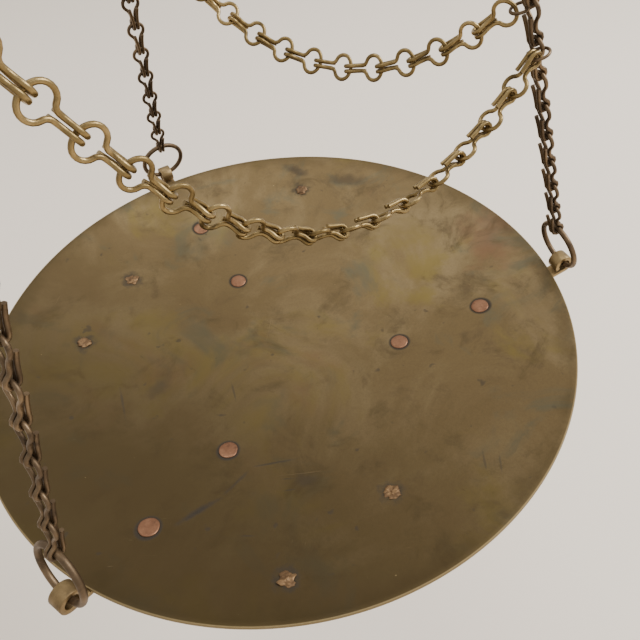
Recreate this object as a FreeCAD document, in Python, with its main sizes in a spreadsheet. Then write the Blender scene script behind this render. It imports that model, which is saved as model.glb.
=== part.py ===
# Equal-arm hanging balance with two shallow riveted brass pans.
#
# The frame has its origin at the centre of the hanging eye's bore, +Z up and +X along the beam
# towards the right-hand pan. Every piece is a separate solid. The two pan assemblies are alike, so
# one loop makes both of them.
import FreeCAD, Part
import os
import Sketcher
from math import asin, atan, atan2, cos, degrees, hypot, pi, radians, sin, sqrt

V = FreeCAD.Vector
Turn = FreeCAD.Rotation
Place = FreeCAD.Placement

UP = V(0, 0, 1)
ALONG_Y = Turn(V(1, 0, 0), -90)
ALONG_X = Turn(V(0, 1, 0), 90)

# Each driving size, in millimetres or degrees, with what it is.
SIZES = [
    ("eye_bore_r", 6, "bore of the hanging eye"),
    ("eye_outer_r", 11, "outside of the hanging eye"),
    ("eye_thickness", 6, "thickness of the hanging eye along Y"),
    ("eye_shank_r", 3, "shank of the hanging eye"),
    ("collar_r", 6, "collar riveted on under the bridge"),
    ("collar_height", 4, "height of that collar"),
    ("peen_r", 4.2, "peened end of the shank"),
    ("peen_height", 1.4, "height of the peened end"),
    ("running_gap", 0.08, "radial gap of a shank that turns in its hole"),
    ("press_gap", 0.02, "radial gap of a shank that is driven or riveted in"),
    ("seat_gap", 0.25, "gap where one loose piece rests on another"),
    ("hook_gap", 0.35, "gap between a hook and the ring that it is round"),
    ("bridge_drop", 20, "bore's centre down to the top of the bridge"),
    ("bridge_thickness", 10, "height of the bridge block"),
    ("bridge_half_length", 13, "half the bridge's length along X"),
    ("cheek_gap", 14, "clear width between the two cheeks"),
    ("cheek_thickness", 3, "plate thickness of a cheek"),
    ("cheek_waist", 6.5, "half width of a cheek below its shoulders"),
    ("cheek_shoulder", 18, "height over which a cheek narrows"),
    ("cheek_disc_r", 13, "round lower end of a cheek"),
    ("cheek_rivet_r", 2, "rivets through cheeks and bridge"),
    ("cheek_rivet_offset", 8.5, "those rivets, out from the shank"),
    ("cheek_rivet_head_r", 3.4, "their heads"),
    ("cheek_rivet_head_rise", 1.5, "height of those heads"),
    ("fulcrum_drop", 95, "bore's centre down to the three knife edges"),
    ("bearing_r", 8, "outside of a steel bearing disc"),
    ("bearing_rise", 1.5, "centre of that disc above its knife edge"),
    ("notch_half_width", 4, "half width of the notch that a knife rocks in"),
    ("notch_height", 6.2, "top of the notch above the edge"),
    ("notch_flank", 60, "angle of the notch's flanks from the vertical"),
    ("notch_root_r", 0.45, "root radius of the notch"),
    ("knife_half_width", 2.2, "half width of a knife"),
    ("knife_height", 5, "back of a knife above its edge"),
    ("knife_flank", 30, "angle of a knife's flanks from the vertical"),
    ("knife_root_r", 0.4, "radius of a knife's edge"),
    ("beam_half", 215, "fulcrum to end knife"),
    ("beam_thickness", 6, "thickness of the beam along Y"),
    ("beam_boss_r", 14, "round boss at the fulcrum"),
    ("beam_root_half_height", 9, "half height of an arm beside the boss"),
    ("beam_root_half_length", 16, "where the arms start to taper"),
    ("beam_tip_half_height", 4, "half height of an arm at its end"),
    ("beam_lowering", 1.5, "beam's middle line below the knife edges, so that it rests level"),
    ("beam_end_r", 9, "round end of the beam"),
    ("pointer_foot", 9, "foot of the pointer above the fulcrum"),
    ("pointer_shoulder", 16, "top of the pointer's foot"),
    ("pointer_neck", 18, "where the pointer has narrowed to its blade"),
    ("pointer_tip", 52, "tip of the pointer above the fulcrum"),
    ("pointer_foot_half_width", 2.5, "half width of the pointer's foot"),
    ("pointer_neck_half_width", 1.5, "half width of the blade there"),
    ("pointer_tip_half_width", 0.5, "half width of the pointer's tip"),
    ("pointer_thickness", 2, "thickness of the pointer along Y"),
    ("shackle_side_gap", 2, "beam to shackle cheek"),
    ("shackle_thickness", 2.5, "plate thickness of a shackle cheek"),
    ("shackle_head_r", 10, "round head of a shackle cheek"),
    ("shackle_half_width", 5, "half width of a shackle cheek"),
    ("shackle_foot_r", 6, "round foot of a shackle cheek"),
    ("shackle_pin_drop", 32, "knife edge down to the shackle's pin"),
    ("shackle_pin_r", 2.5, "shackle's pin"),
    ("pin_head_r", 3.8, "heads of that pin"),
    ("pin_head_height", 1.2, "thickness of those heads"),
    ("hanger_ring_r", 9, "centreline of the hanger ring"),
    ("hanger_wire_r", 1.8, "wire of the hanger ring and the swivel's eye"),
    ("swivel_eye_r", 6, "centreline of the swivel's eye"),
    ("swivel_shank_r", 2.5, "shank of the swivel"),
    ("swivel_shank_length", 11, "eye's wire down to the chain plate"),
    ("swivel_head_r", 4.6, "head under the chain plate"),
    ("swivel_head_height", 2, "thickness of that head"),
    ("plate_r", 19, "chain plate"),
    ("plate_thickness", 3, "thickness of the chain plate"),
    ("plate_hole_r", 2.6, "holes for the plate's rings"),
    ("plate_hole_circle", 13.5, "radius on which those holes lie"),
    ("plate_ring_r", 5.5, "centreline of a plate ring"),
    ("plate_wire_r", 0.9, "wire of a plate ring"),
    ("pitch", 13.2, "pitch of all chains"),
    ("chain_links", 27, "links in each suspension chain"),
    ("chain_wire_r", 0.75, "wire of the suspension chains"),
    ("chain_eye_half_width", 3.5, "half width of their pear-shaped eyes"),
    ("chain_eye_end_r", 3.9, "closed end of such an eye"),
    ("chain_eye_side_r", 3.2, "sides of the eye"),
    ("chain_shoulder_r", 6, "curve from the eye into the legs"),
    ("chain_leg_half_gap", 0.9, "half the distance between a link's two legs"),
    ("chain_hook_r", 1.8, "centreline of their hooks"),
    ("chain_tail_end", 4.7, "free ends of the hooks, from the eye's closed end"),
    ("swag_wire_r", 0.75, "wire of the swags"),
    ("swag_eye_half_width", 4.5, "half width of their eyes"),
    ("swag_eye_end_r", 5.5, "closed end of such an eye"),
    ("swag_eye_side_r", 3, "sides of the eye"),
    ("swag_shoulder_r", 1.4, "curve from the eye into the legs"),
    ("swag_leg_half_gap", 0.95, "half the distance between a link's two legs"),
    ("swag_hook_r", 2.05, "centreline of their hooks"),
    ("swag_end_hook_r", 2.4, "centreline of the last hook, opened to go over its ring"),
    ("swag_tail_end", 7.6, "free ends of the hooks, from the eye's closed end"),
    ("swag_ring_r", 3.4, "centreline of the small ring at each end of a swag"),
    ("swag_ring_wire_r", 0.55, "wire of that ring"),
    ("swag_ring_place", 3.6, "ring below the closed end of the eye that it grips"),
    ("pan_radius", 135, "rim of a pan"),
    ("pan_depth", 22, "rim plane down to the middle of a pan"),
    ("pan_wall", 1.2, "sheet thickness of a pan"),
    ("strap_seat", 0.05, "pan to strap"),
    ("strap_thickness", 1.8, "thickness of a strap"),
    ("strap_half_width", 7, "half width of a strap under the pan"),
    ("strap_neck_half_width", 3.2, "half width of a strap's rolled eye"),
    ("strap_inner_end", 12, "inner rivet in to the strap's end"),
    ("strap_neck_start", 16, "rolled eye in to where the strap narrows"),
    ("strap_neck_end", 7, "rolled eye in to where it is narrowest"),
    ("strap_eye_r", 2.7, "bore of a strap's rolled eye"),
    ("strap_eye_out", 5.4, "rim out to the rolled eye's centre"),
    ("strap_eye_wrap", 290, "turn of the rolled eye"),
    ("rim_ring_r", 11.5, "centreline of the ring in a rolled eye"),
    ("rim_wire_r", 1.25, "wire of that ring"),
    ("rivet_shank_r", 2, "copper rivets"),
    ("rivet_head_r", 4, "their heads inside the pan"),
    ("rivet_head_rise", 0.9, "height of those heads"),
    ("rivet_tail_r", 3.2, "their heads under the strap"),
    ("rivet_tail_rise", 1.3, "height of those heads"),
    ("rivet_lift", 0.04, "head clear of the curved sheet"),
    ("back_strap_angle", 90.4, "direction of the back strap"),
    ("back_strap_offset", -1.5, "its line beside the pan's centre"),
    ("back_strap_inner_rivet", 50.4, "its inner rivet, along the strap"),
    ("back_strap_outer_rivet", 95.9, "its outer rivet"),
    ("right_strap_angle", -13.5, "direction of the right strap"),
    ("right_strap_offset", -24.9, "its line beside the pan's centre"),
    ("right_strap_inner_rivet", 53.2, "its inner rivet"),
    ("right_strap_outer_rivet", 96.2, "its outer rivet"),
    ("left_strap_angle", -156, "direction of the left strap"),
    ("left_strap_offset", 18.4, "its line beside the pan's centre"),
    ("left_strap_inner_rivet", 62.9, "its inner rivet"),
    ("left_strap_outer_rivet", 106.5, "its outer rivet"),
    ("back_right_swag_slack", 1.17, "length over span of the swag between back and right chains"),
    ("left_right_swag_slack", 1.275, "length over span of the swag between left and right chains"),
    ("back_left_swag_slack", 1.18, "length over span of the swag between back and left chains"),
]

doc = FreeCAD.newDocument("balance")
sheet = doc.addObject("Spreadsheet::Sheet", "Sizes")
for row, (alias, value, meaning) in enumerate(SIZES, start=1):
    sheet.set("A%d" % row, alias)
    sheet.set("B%d" % row, str(value))
    sheet.set("C%d" % row, meaning)
    sheet.setAlias("B%d" % row, alias)
doc.recompute()


def size(alias):
    return float(getattr(sheet, alias))


nodes = {}


def node(label, piece):
    """Gives a finished piece the name that its file will have."""
    piece.Label = label
    nodes[label] = piece
    return piece


def sized(kind, name, base=V(0, 0, 0), turn=Turn(), **formulas):
    """A primitive at a place, with each of its sizes bound to a formula of the sheet."""
    piece = doc.addObject(kind, name)
    for prop, formula in formulas.items():
        piece.setExpression(prop, formula)
    piece.Placement = Place(base, turn)
    return piece


def fuse(name, pieces):
    whole = doc.addObject("Part::MultiFuse", name)
    whole.Shapes = pieces
    return whole


def cut(name, base, tool):
    rest = doc.addObject("Part::Cut", name)
    rest.Base = base
    rest.Tool = tool
    return rest


def group(name, pieces):
    together = doc.addObject("Part::Compound", name)
    together.Links = pieces
    return together


def sketch_on(body, role):
    sketch = body.newObject("Sketcher::SketchObject", body.Name + "_outline")
    plane = [feature for feature in body.Origin.OriginFeatures if feature.Role == role][0]
    sketch.AttachmentSupport = (plane, [""])
    sketch.MapMode = "FlatFace"
    return sketch


def bind(sketch, kind, geometry, point, formula):
    """Sets a point's distance from the sketch's origin, along its x or its y."""
    index = sketch.addConstraint(Sketcher.Constraint(kind, -1, 1, geometry, point, 1.0))
    sketch.setExpression("Constraints[%d]" % index, formula)


def polygon(sketch, corners):
    """A closed outline through corners, each a pair of formulas for its x and its y."""
    count = len(corners)
    start = [V(cos(2 * pi * k / count + 0.3), sin(2 * pi * k / count + 0.3), 0) for k in range(count)]
    first = sketch.GeometryCount
    for k in range(count):
        sketch.addGeometry(Part.LineSegment(start[k], start[(k + 1) % count]))
    for k in range(count):
        here = first + k
        after = first + (k + 1) % count
        sketch.addConstraint(Sketcher.Constraint("Coincident", here, 2, after, 1))
    for k, (across, along) in enumerate(corners):
        bind(sketch, "DistanceX", first + k, 1, across)
        bind(sketch, "DistanceY", first + k, 1, along)


def disc(sketch, across, along, radius):
    """A circle whose centre and radius are formulas."""
    circle = sketch.addGeometry(Part.Circle(V(1, 1, 0), UP, 1))
    bind(sketch, "DistanceX", circle, 3, across)
    bind(sketch, "DistanceY", circle, 3, along)
    index = sketch.addConstraint(Sketcher.Constraint("Radius", circle, 1.0))
    sketch.setExpression("Constraints[%d]" % index, radius)


def pad(body, sketch, thickness):
    """Pads an outline by half a thickness to each side of its plane."""
    solid = body.newObject("PartDesign::Pad", sketch.Name + "_pad")
    solid.Profile = sketch
    solid.SideType = "Symmetric"
    solid.setExpression("Length", thickness)
    return solid


def plate(name, corners, discs, thickness, role="XZ_Plane"):
    """A flat piece: a polygon and the discs that round its ends, padded about their plane."""
    body = doc.addObject("PartDesign::Body", name)
    outline = sketch_on(body, role)
    polygon(outline, corners)
    pad(body, outline, thickness)
    for across, along, radius in discs:
        rounding = sketch_on(body, role)
        disc(rounding, across, along, radius)
        pad(body, rounding, thickness)
    return body


def wedge(name, prefix, thickness, axis, turn=Turn()):
    """A prism along Y with a rounded edge on its axis, for a knife or the notch that it rocks in."""
    flank = "Sizes.%s_flank" % prefix
    root = "Sizes.%s_root_r" % prefix
    half = "Sizes.%s_half_width" % prefix
    top = "Sizes.%s_height" % prefix
    root_across = "%s * cos(%s)" % (root, flank)
    root_along = "-%s * sin(%s)" % (root, flank)
    flank_top = "(%s - %s) / tan(%s) - %s * sin(%s)" % (half, root_across, flank, root, flank)
    corners = [
        (half, top),
        ("-" + half, top),
        ("-" + half, flank_top),
        ("-" + root_across, root_along),
        (root_across, root_along),
        (half, flank_top),
    ]
    prism = plate(name + "_prism", corners, [], thickness)
    edge = sized("Part::Cylinder", name + "_edge", turn=ALONG_Y, Radius=root, Height=thickness)
    edge.setExpression("Placement.Base.y", "-(%s) / 2" % thickness)
    whole = fuse(name, [prism, edge])
    whole.Placement = Place(axis, turn)
    return whole


# ---------------------------------------------------------------------------------------------
# Hanging eye: a forged eye whose shank turns in the bridge and is peened over a loose collar.

seat = size("seat_gap")
bridge_top = -size("bridge_drop")
bridge_bottom = bridge_top - size("bridge_thickness")
collar_bottom = bridge_bottom - seat - size("collar_height")

eye_disc = sized(
    "Part::Cylinder", "eye_disc", V(0, -size("eye_thickness") / 2, 0), ALONG_Y,
    Radius="Sizes.eye_outer_r", Height="Sizes.eye_thickness")
eye_shank = sized(
    "Part::Cylinder", "eye_shank", V(0, 0, collar_bottom), Radius="Sizes.eye_shank_r",
    Height="Sizes.bridge_drop + Sizes.bridge_thickness + Sizes.seat_gap + Sizes.collar_height")
eye_peen = sized(
    "Part::Cylinder", "eye_peen", V(0, 0, collar_bottom - size("peen_height")),
    Radius="Sizes.peen_r", Height="Sizes.peen_height")
eye_bore = sized(
    "Part::Cylinder", "eye_bore", V(0, -size("eye_thickness"), 0), ALONG_Y,
    Radius="Sizes.eye_bore_r", Height="2 * Sizes.eye_thickness")
node("hanging_eye", cut("eye", fuse("eye_blank", [eye_disc, eye_shank, eye_peen]), eye_bore))

collar_blank = sized(
    "Part::Cylinder", "collar_blank", V(0, 0, collar_bottom),
    Radius="Sizes.collar_r", Height="Sizes.collar_height")
collar_hole = sized(
    "Part::Cylinder", "collar_hole", V(0, 0, collar_bottom),
    Radius="Sizes.eye_shank_r + Sizes.press_gap", Height="Sizes.collar_height")
node("eye_collar", cut("collar", collar_blank, collar_hole))

# ---------------------------------------------------------------------------------------------
# Shears: a bridge block between two cheeks, held by two rivets. A steel bearing disc with a
# V notch sits in the round lower end of each cheek.

cheek_middle = (size("cheek_gap") + size("cheek_thickness")) / 2
shears_width = "Sizes.cheek_gap + 2 * Sizes.cheek_thickness"
rivet_ends = size("cheek_gap") / 2 + size("cheek_thickness")
rivet_height = (bridge_top + bridge_bottom) / 2

bridge_block = sized(
    "Part::Box", "bridge_block",
    V(-size("bridge_half_length"), -size("cheek_gap") / 2, bridge_bottom),
    Length="2 * Sizes.bridge_half_length", Width="Sizes.cheek_gap", Height="Sizes.bridge_thickness")
bridge_holes = [sized(
    "Part::Cylinder", "bridge_shank_hole", V(0, 0, bridge_bottom),
    Radius="Sizes.eye_shank_r + Sizes.running_gap", Height="Sizes.bridge_thickness")]
cheek_rivets = []
for side in (-1, 1):
    x = side * size("cheek_rivet_offset")
    tag = "left" if side < 0 else "right"
    bridge_holes.append(sized(
        "Part::Cylinder", "cheek_rivet_hole_" + tag, V(x, -rivet_ends, rivet_height), ALONG_Y,
        Radius="Sizes.cheek_rivet_r + Sizes.press_gap", Height=shears_width))
    shank = sized(
        "Part::Cylinder", "cheek_rivet_shank_" + tag, V(x, -rivet_ends, rivet_height), ALONG_Y,
        Radius="Sizes.cheek_rivet_r", Height=shears_width)
    heads = []
    for end in (-1, 1):
        heads.append(sized(
            "Part::Ellipsoid", "cheek_rivet_head_%s_%d" % (tag, end + 1),
            V(x, end * rivet_ends, rivet_height), Turn(UP, V(0, end, 0)),
            Radius1="Sizes.cheek_rivet_head_rise", Radius2="Sizes.cheek_rivet_head_r", Angle1="0",
            Angle2="90"))
    cheek_rivets.append(fuse("cheek_rivet_" + tag, [shank] + heads))
holes = fuse("bridge_and_cheek_holes", bridge_holes)
node("shears_bridge", cut("bridge", bridge_block, holes))
node("cheek_rivets", group("cheek_rivet_pair", cheek_rivets))

cheek_corners = []
for side in ("", "-"):
    outline_side = [
        (side + "Sizes.bridge_half_length", "-Sizes.bridge_drop"),
        (side + "Sizes.bridge_half_length", "-Sizes.bridge_drop - Sizes.bridge_thickness"),
        (side + "Sizes.cheek_waist",
         "-Sizes.bridge_drop - Sizes.bridge_thickness - Sizes.cheek_shoulder"),
        (side + "Sizes.cheek_waist", "-Sizes.fulcrum_drop"),
    ]
    cheek_corners += outline_side if side == "" else outline_side[::-1]
fulcrum = V(0, 0, -size("fulcrum_drop"))
bearings = []
for name, side in (("shears_cheek_front", -1), ("shears_cheek_back", 1)):
    blank = plate(
        name + "_blank", cheek_corners,
        [("0", "Sizes.bearing_rise - Sizes.fulcrum_drop", "Sizes.cheek_disc_r")],
        "Sizes.cheek_thickness")
    blank.Placement = Place(V(0, side * cheek_middle, 0), Turn())
    seat_hole = sized(
        "Part::Cylinder", name + "_seat_hole",
        fulcrum + V(0, side * cheek_middle - size("cheek_thickness"), size("bearing_rise")), ALONG_Y,
        Radius="Sizes.bearing_r + Sizes.press_gap", Height="2 * Sizes.cheek_thickness")
    tools = fuse(name + "_holes", [seat_hole] + bridge_holes[1:])
    node(name, cut(name + "_plate", blank, tools))
    bearing_disc = sized(
        "Part::Cylinder", name + "_bearing_disc",
        fulcrum + V(0, side * cheek_middle - size("cheek_thickness") / 2, size("bearing_rise")),
        ALONG_Y, Radius="Sizes.bearing_r", Height="Sizes.cheek_thickness")
    notch = wedge(
        name + "_notch", "notch", "2 * Sizes.cheek_thickness", fulcrum + V(0, side * cheek_middle, 0))
    bearings.append(cut(name + "_bearing", bearing_disc, notch))
node("fulcrum_bearings", group("fulcrum_bearing_pair", bearings))

# ---------------------------------------------------------------------------------------------
# Beam: a flat forged lever with a steel knife through its boss, edge down, one through each end,
# edge up, and a pointer let into the top of the boss.

shackle_width = "Sizes.beam_thickness + 2 * Sizes.shackle_side_gap + 2 * Sizes.shackle_thickness"
knife_tools = [wedge("fulcrum_knife_blade", "knife", shears_width, fulcrum)]
node("fulcrum_knife", knife_tools[0])
for side, tag in ((-1, "lh"), (1, "rh")):
    end = fulcrum + V(side * size("beam_half"), 0, 0)
    knife_tools.append(wedge("end_knife_blade_" + tag, "knife", shackle_width, end, Turn(V(0, 1, 0), 180)))
    node("end_knife_" + tag, knife_tools[-1])

pointer_corners = []
for side in ("", "-"):
    outline_side = [
        (side + "Sizes.pointer_foot_half_width", "Sizes.pointer_foot"),
        (side + "Sizes.pointer_foot_half_width", "Sizes.pointer_shoulder"),
        (side + "Sizes.pointer_neck_half_width", "Sizes.pointer_neck"),
        (side + "Sizes.pointer_tip_half_width", "Sizes.pointer_tip"),
    ]
    pointer_corners += outline_side if side == "" else outline_side[::-1]
pointer = plate("pointer_blade", pointer_corners, [], "Sizes.pointer_thickness")
pointer.Placement = Place(fulcrum, Turn())
node("pointer", pointer)

beam_line = "Sizes.beam_lowering"
beam_corners = [
    ("Sizes.beam_half", "Sizes.beam_tip_half_height - " + beam_line),
    ("Sizes.beam_root_half_length", "Sizes.beam_root_half_height - " + beam_line),
    ("-Sizes.beam_root_half_length", "Sizes.beam_root_half_height - " + beam_line),
    ("-Sizes.beam_half", "Sizes.beam_tip_half_height - " + beam_line),
    ("-Sizes.beam_half", "-Sizes.beam_tip_half_height - " + beam_line),
    ("-Sizes.beam_root_half_length", "-Sizes.beam_root_half_height - " + beam_line),
    ("Sizes.beam_root_half_length", "-Sizes.beam_root_half_height - " + beam_line),
    ("Sizes.beam_half", "-Sizes.beam_tip_half_height - " + beam_line),
]
beam_discs = [
    ("0", "-" + beam_line, "Sizes.beam_boss_r"),
    ("Sizes.beam_half", "-" + beam_line, "Sizes.beam_end_r"),
    ("-Sizes.beam_half", "-" + beam_line, "Sizes.beam_end_r"),
]
beam_blank = plate("beam_blank", beam_corners, beam_discs, "Sizes.beam_thickness")
beam_blank.Placement = Place(fulcrum, Turn())
node("beam", cut("beam_lever", beam_blank, fuse("beam_slots", knife_tools + [pointer])))


# ---------------------------------------------------------------------------------------------
# Chain links, each bent from one piece of wire: a round or pear-shaped eye, a pinched neck, and
# two legs that both curl round the wire of the next link and end beside the neck.

def link_solid(prefix, hook_r=None):
    """One link. The wire at the eye's closed end crosses the origin, and the hooks are round a wire
    that crosses the X axis one pitch away. The legs lie on the +Z side of that wire, and the free
    ends on its -Z side."""
    wire_r = size(prefix + "_wire_r")
    end_r = size(prefix + "_eye_end_r")
    side_r = size(prefix + "_eye_side_r")
    shoulder_r = size(prefix + "_shoulder_r")
    leg_y = size(prefix + "_leg_half_gap")
    tail_x = size(prefix + "_tail_end")
    hook_r = hook_r or size(prefix + "_hook_r")

    # Angles: where the closed end meets a side, where the side meets the shoulder, and how far the
    # leg turns up before it turns over into the hook.
    side_y = size(prefix + "_eye_half_width") - side_r
    end_turn = asin(side_y / (end_r - side_r))
    side_x = end_r - (end_r - side_r) * cos(end_turn)
    opening = asin((leg_y + shoulder_r - side_y) / (side_r + shoulder_r))
    neck_x = side_x + (side_r + shoulder_r) * cos(opening)
    hook_x = size("pitch") + end_r - sqrt(end_r ** 2 - leg_y ** 2)
    run = hook_x - neck_x
    rise_r = (run ** 2 - hook_r ** 2) / (2 * hook_r)
    rise_turn = asin(run / (rise_r + hook_r))

    def half(mirror):
        def flat(centre_x, centre_y, radius, angle):
            return V(centre_x + radius * cos(angle), mirror * (centre_y + radius * sin(angle)), 0)

        def upright(centre_x, centre_z, radius, angle):
            return V(centre_x + radius * cos(angle), mirror * leg_y, centre_z + radius * sin(angle))

        def arc(circle, centre_x, centre_other, radius, first, last):
            points = [
                circle(centre_x, centre_other, radius, angle)
                for angle in (first, (first + last) / 2, last)]
            return Part.Arc(*points).toShape()

        return [
            arc(flat, end_r, 0, end_r, pi, pi - end_turn),
            arc(flat, side_x, side_y, side_r, pi - end_turn, opening),
            arc(flat, neck_x, leg_y + shoulder_r, shoulder_r, pi + opening, 1.5 * pi),
            arc(upright, neck_x, rise_r, rise_r, -pi / 2, rise_turn - pi / 2),
            arc(upright, hook_x, 0, hook_r, rise_turn + pi / 2, -pi / 2),
            Part.LineSegment(
                V(hook_x, mirror * leg_y, -hook_r), V(tail_x, mirror * leg_y, -hook_r)).toShape(),
        ]

    path = Part.Wire(half(-1)[::-1] + half(1))
    section = Part.Wire(Part.Circle(V(tail_x, -leg_y, -hook_r), V(1, 0, 0), wire_r).toShape())
    return path.makePipeShell([section], True, False)


def link_between(solid, eye, hook, legs):
    """A copy of a link from the joint at its eye to the joint at its hook, legs towards `legs`."""
    forward = (hook - eye).normalize()
    across = legs.cross(forward).normalize()
    copy = solid.copy()
    copy.Placement = Place(eye, Turn(forward, across, forward.cross(across), "XZY"))
    return copy


def chain(label, links):
    """A chain is one node of separate links."""
    whole = doc.addObject("Part::Feature", label)
    whole.Shape = Part.makeCompound(links)
    return node(label, whole)


def hanging_joints(start, end, count, step):
    """The joints of a slack chain of equal links hung between two points: link k leans so that
    the slope grows evenly from link to link, as the weight below it does."""
    flat = V(end.x - start.x, end.y - start.y, 0)
    span = flat.Length
    rise = end.z - start.z

    def leans(lowest, stiffness):
        return [atan2(k + 0.5 - lowest, stiffness) for k in range(count)]

    def lowest_for(stiffness):
        low, high = -3.0 * count, 4.0 * count
        for _ in range(80):
            middle = (low + high) / 2
            if step * sum(sin(lean) for lean in leans(middle, stiffness)) > rise:
                low = middle
            else:
                high = middle
        return (low + high) / 2

    low, high = 0.01, 1000.0
    for _ in range(80):
        middle = (low + high) / 2
        if step * sum(cos(lean) for lean in leans(lowest_for(middle), middle)) < span:
            low = middle
        else:
            high = middle
    stiffness = (low + high) / 2
    ahead = flat.normalize()
    joints = [V(start)]
    for lean in leans(lowest_for(stiffness), stiffness):
        joints.append(joints[-1] + ahead * (step * cos(lean)) + UP * (step * sin(lean)))
    return joints


# ---------------------------------------------------------------------------------------------
# Pan assemblies. From the top: a shackle that rocks on the end knife, a ring, a swivel, a plate
# with three rings, three chains, three rings in the rolled eyes of three straps, and the pan that
# the straps are riveted under. Three swags hang between the chains.

pitch = size("pitch")
sphere_r = (size("pan_radius") ** 2 + size("pan_depth") ** 2) / (2 * size("pan_depth"))
sphere_formula = "(Sizes.pan_radius ^ 2 + Sizes.pan_depth ^ 2) / (2 * Sizes.pan_depth)"
under_formula = "(%s + Sizes.pan_wall + Sizes.strap_seat)" % sphere_formula
under_r = sphere_r + size("pan_wall") + size("strap_seat")
strap_eye_depth = under_r - size("strap_eye_r")

STRAPS = ("back", "right", "left")
# Each swag starts with an eye at one chain and ends with a hook at another. The numbers are the
# links that hold its two ends, counted from the pan, and the last is which side its legs are on.
SWAGS = [
    ("back_right_swag", "right", 7, "back", 9, 1),
    ("left_right_swag", "left", 10, "right", 6, -1),
    ("back_left_swag", "back", 12, "left", 13, 1),
]


class Strap:
    """Where one strap lies on the sphere of a pan's underside, with the pan's rim plane at z = 0
    and its axis at x = y = 0. The strap follows the great circle that its line cuts."""

    def __init__(self, name):
        self.name = name
        angle = radians(size(name + "_strap_angle"))
        tilt = asin(size(name + "_strap_offset") / sphere_r)
        self.along = V(cos(angle), sin(angle), 0)
        beside = V(-sin(angle), cos(angle), 0)
        self.axis_up = UP * cos(tilt) - beside * sin(tilt)
        self.across = self.axis_up.cross(self.along)
        self.centre = V(0, 0, sphere_r - size("pan_depth"))
        eye_circle = size("pan_radius") + size("strap_eye_out")
        self.eye_angle = asin(
            sqrt(((eye_circle / strap_eye_depth) ** 2 - sin(tilt) ** 2)) / cos(tilt))
        self.eye = self.point(strap_eye_depth, self.eye_angle)
        self.start_angle = self.angle_of(self.rivet("inner") - size("strap_inner_end"))

    def rivet(self, which):
        return size("%s_strap_%s_rivet" % (self.name, which))

    def angle_of(self, reach):
        return asin(reach / sphere_r)

    def outward(self, angle):
        return self.along * sin(angle) - self.axis_up * cos(angle)

    def point(self, radius, angle):
        return self.centre + self.outward(angle) * radius


def chain_line(strap):
    """The bottom joint of the chain above a strap, its direction, and the rim ring's centre. The
    ring bears on the edges of the rolled eye, because it curves away from the eye's middle."""
    azimuth = atan2(strap.eye.y, strap.eye.x)
    outward = V(cos(azimuth), sin(azimuth), 0)
    ring_rise = size("rim_ring_r") - sqrt(size("rim_ring_r") ** 2 - size("strap_neck_half_width") ** 2)
    ring_shift = size("strap_eye_r") - size("rim_wire_r") - size("seat_gap") - ring_rise
    length = ring_shift + 2 * size("rim_ring_r") + size("chain_links") * pitch
    run = hypot(strap.eye.x, strap.eye.y) - plate_ring_out
    lean = asin(run / length)
    direction = UP * cos(lean) - outward * sin(lean)
    return {
        "azimuth": azimuth,
        "outward": outward,
        "sideways": V(-sin(azimuth), cos(azimuth), 0),
        "legs": direction.cross(strap.across).normalize() * -1,
        "direction": direction,
        "ring": strap.eye + direction * (ring_shift + size("rim_ring_r")),
        "bottom": strap.eye + direction * (ring_shift + 2 * size("rim_ring_r")),
        "top": strap.eye + direction * length,
    }


# A plate ring hangs on the strip of plate outside its hole, and carries the chain below it.
plate_strip_out = (size("plate_hole_circle") + size("plate_hole_r") + size("plate_r")) / 2
plate_strip_half = (size("plate_r") - size("plate_hole_circle") - size("plate_hole_r")) / 2
plate_ring_inner = size("plate_ring_r") - size("plate_wire_r") - size("seat_gap")
plate_ring_sag = sqrt(plate_ring_inner ** 2 - plate_strip_half ** 2) - size("plate_thickness") / 2
plate_ring_out = plate_strip_out
top_joint_rise = size("plate_wire_r") + size("chain_wire_r") + size("seat_gap")

straps = {name: Strap(name) for name in STRAPS}
lines = {name: chain_line(straps[name]) for name in STRAPS}

pin_z = fulcrum.z - size("shackle_pin_drop")
ring_z = pin_z - (size("hanger_ring_r") - size("hanger_wire_r") - size("shackle_pin_r") - seat)
ring_bottom_z = ring_z - size("hanger_ring_r")
swivel_z = ring_bottom_z - (size("swivel_eye_r") - 2 * size("hanger_wire_r") - seat)
plate_top_z = swivel_z - size("swivel_eye_r") - size("swivel_shank_length")
plate_middle_z = plate_top_z - size("plate_thickness") / 2
plate_ring_z = plate_middle_z - plate_ring_sag
top_joint_z = plate_ring_z - size("plate_ring_r") + top_joint_rise
rim_z = top_joint_z - lines["back"]["top"].z

chain_link = link_solid("chain")
bottom_link = link_solid("chain", size("rim_wire_r") + size("chain_wire_r") + size("hook_gap"))
swag_link = link_solid("swag")
end_swag_link = link_solid("swag", size("swag_end_hook_r"))


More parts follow.
